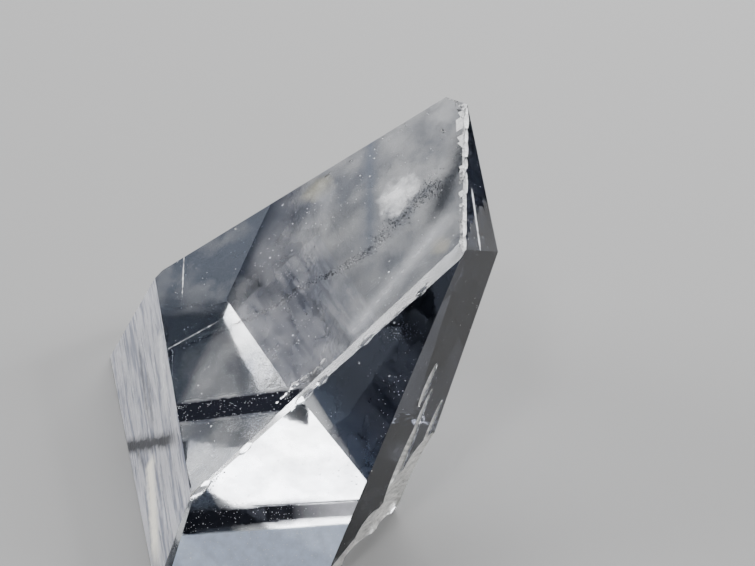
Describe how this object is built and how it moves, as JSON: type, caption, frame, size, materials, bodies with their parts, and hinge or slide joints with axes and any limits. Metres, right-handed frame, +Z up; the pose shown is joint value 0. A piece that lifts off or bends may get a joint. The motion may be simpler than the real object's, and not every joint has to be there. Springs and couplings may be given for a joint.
{
  "type": "quartz crystal",
  "caption": "Stubby clear quartz crystal with a large slanted rhombohedral face, standing on its flat broken foot.",
  "frame": {"origin": "on the ground, under the middle of the crystal's bounding box", "axes": "+Z up; +Y from front to back, away from a viewer who sees the picture's side; +X to that viewer's right"},
  "size_m": [0.0442, 0.0494, 0.0364],
  "materials": {
    "clear_quartz": "clear, glassy faces, with a milky striated left wall, veils and dust inside"
  },
  "bodies": {
    "root": {"quartz_crystal": "clear_quartz"}
  },
  "joints": []
}
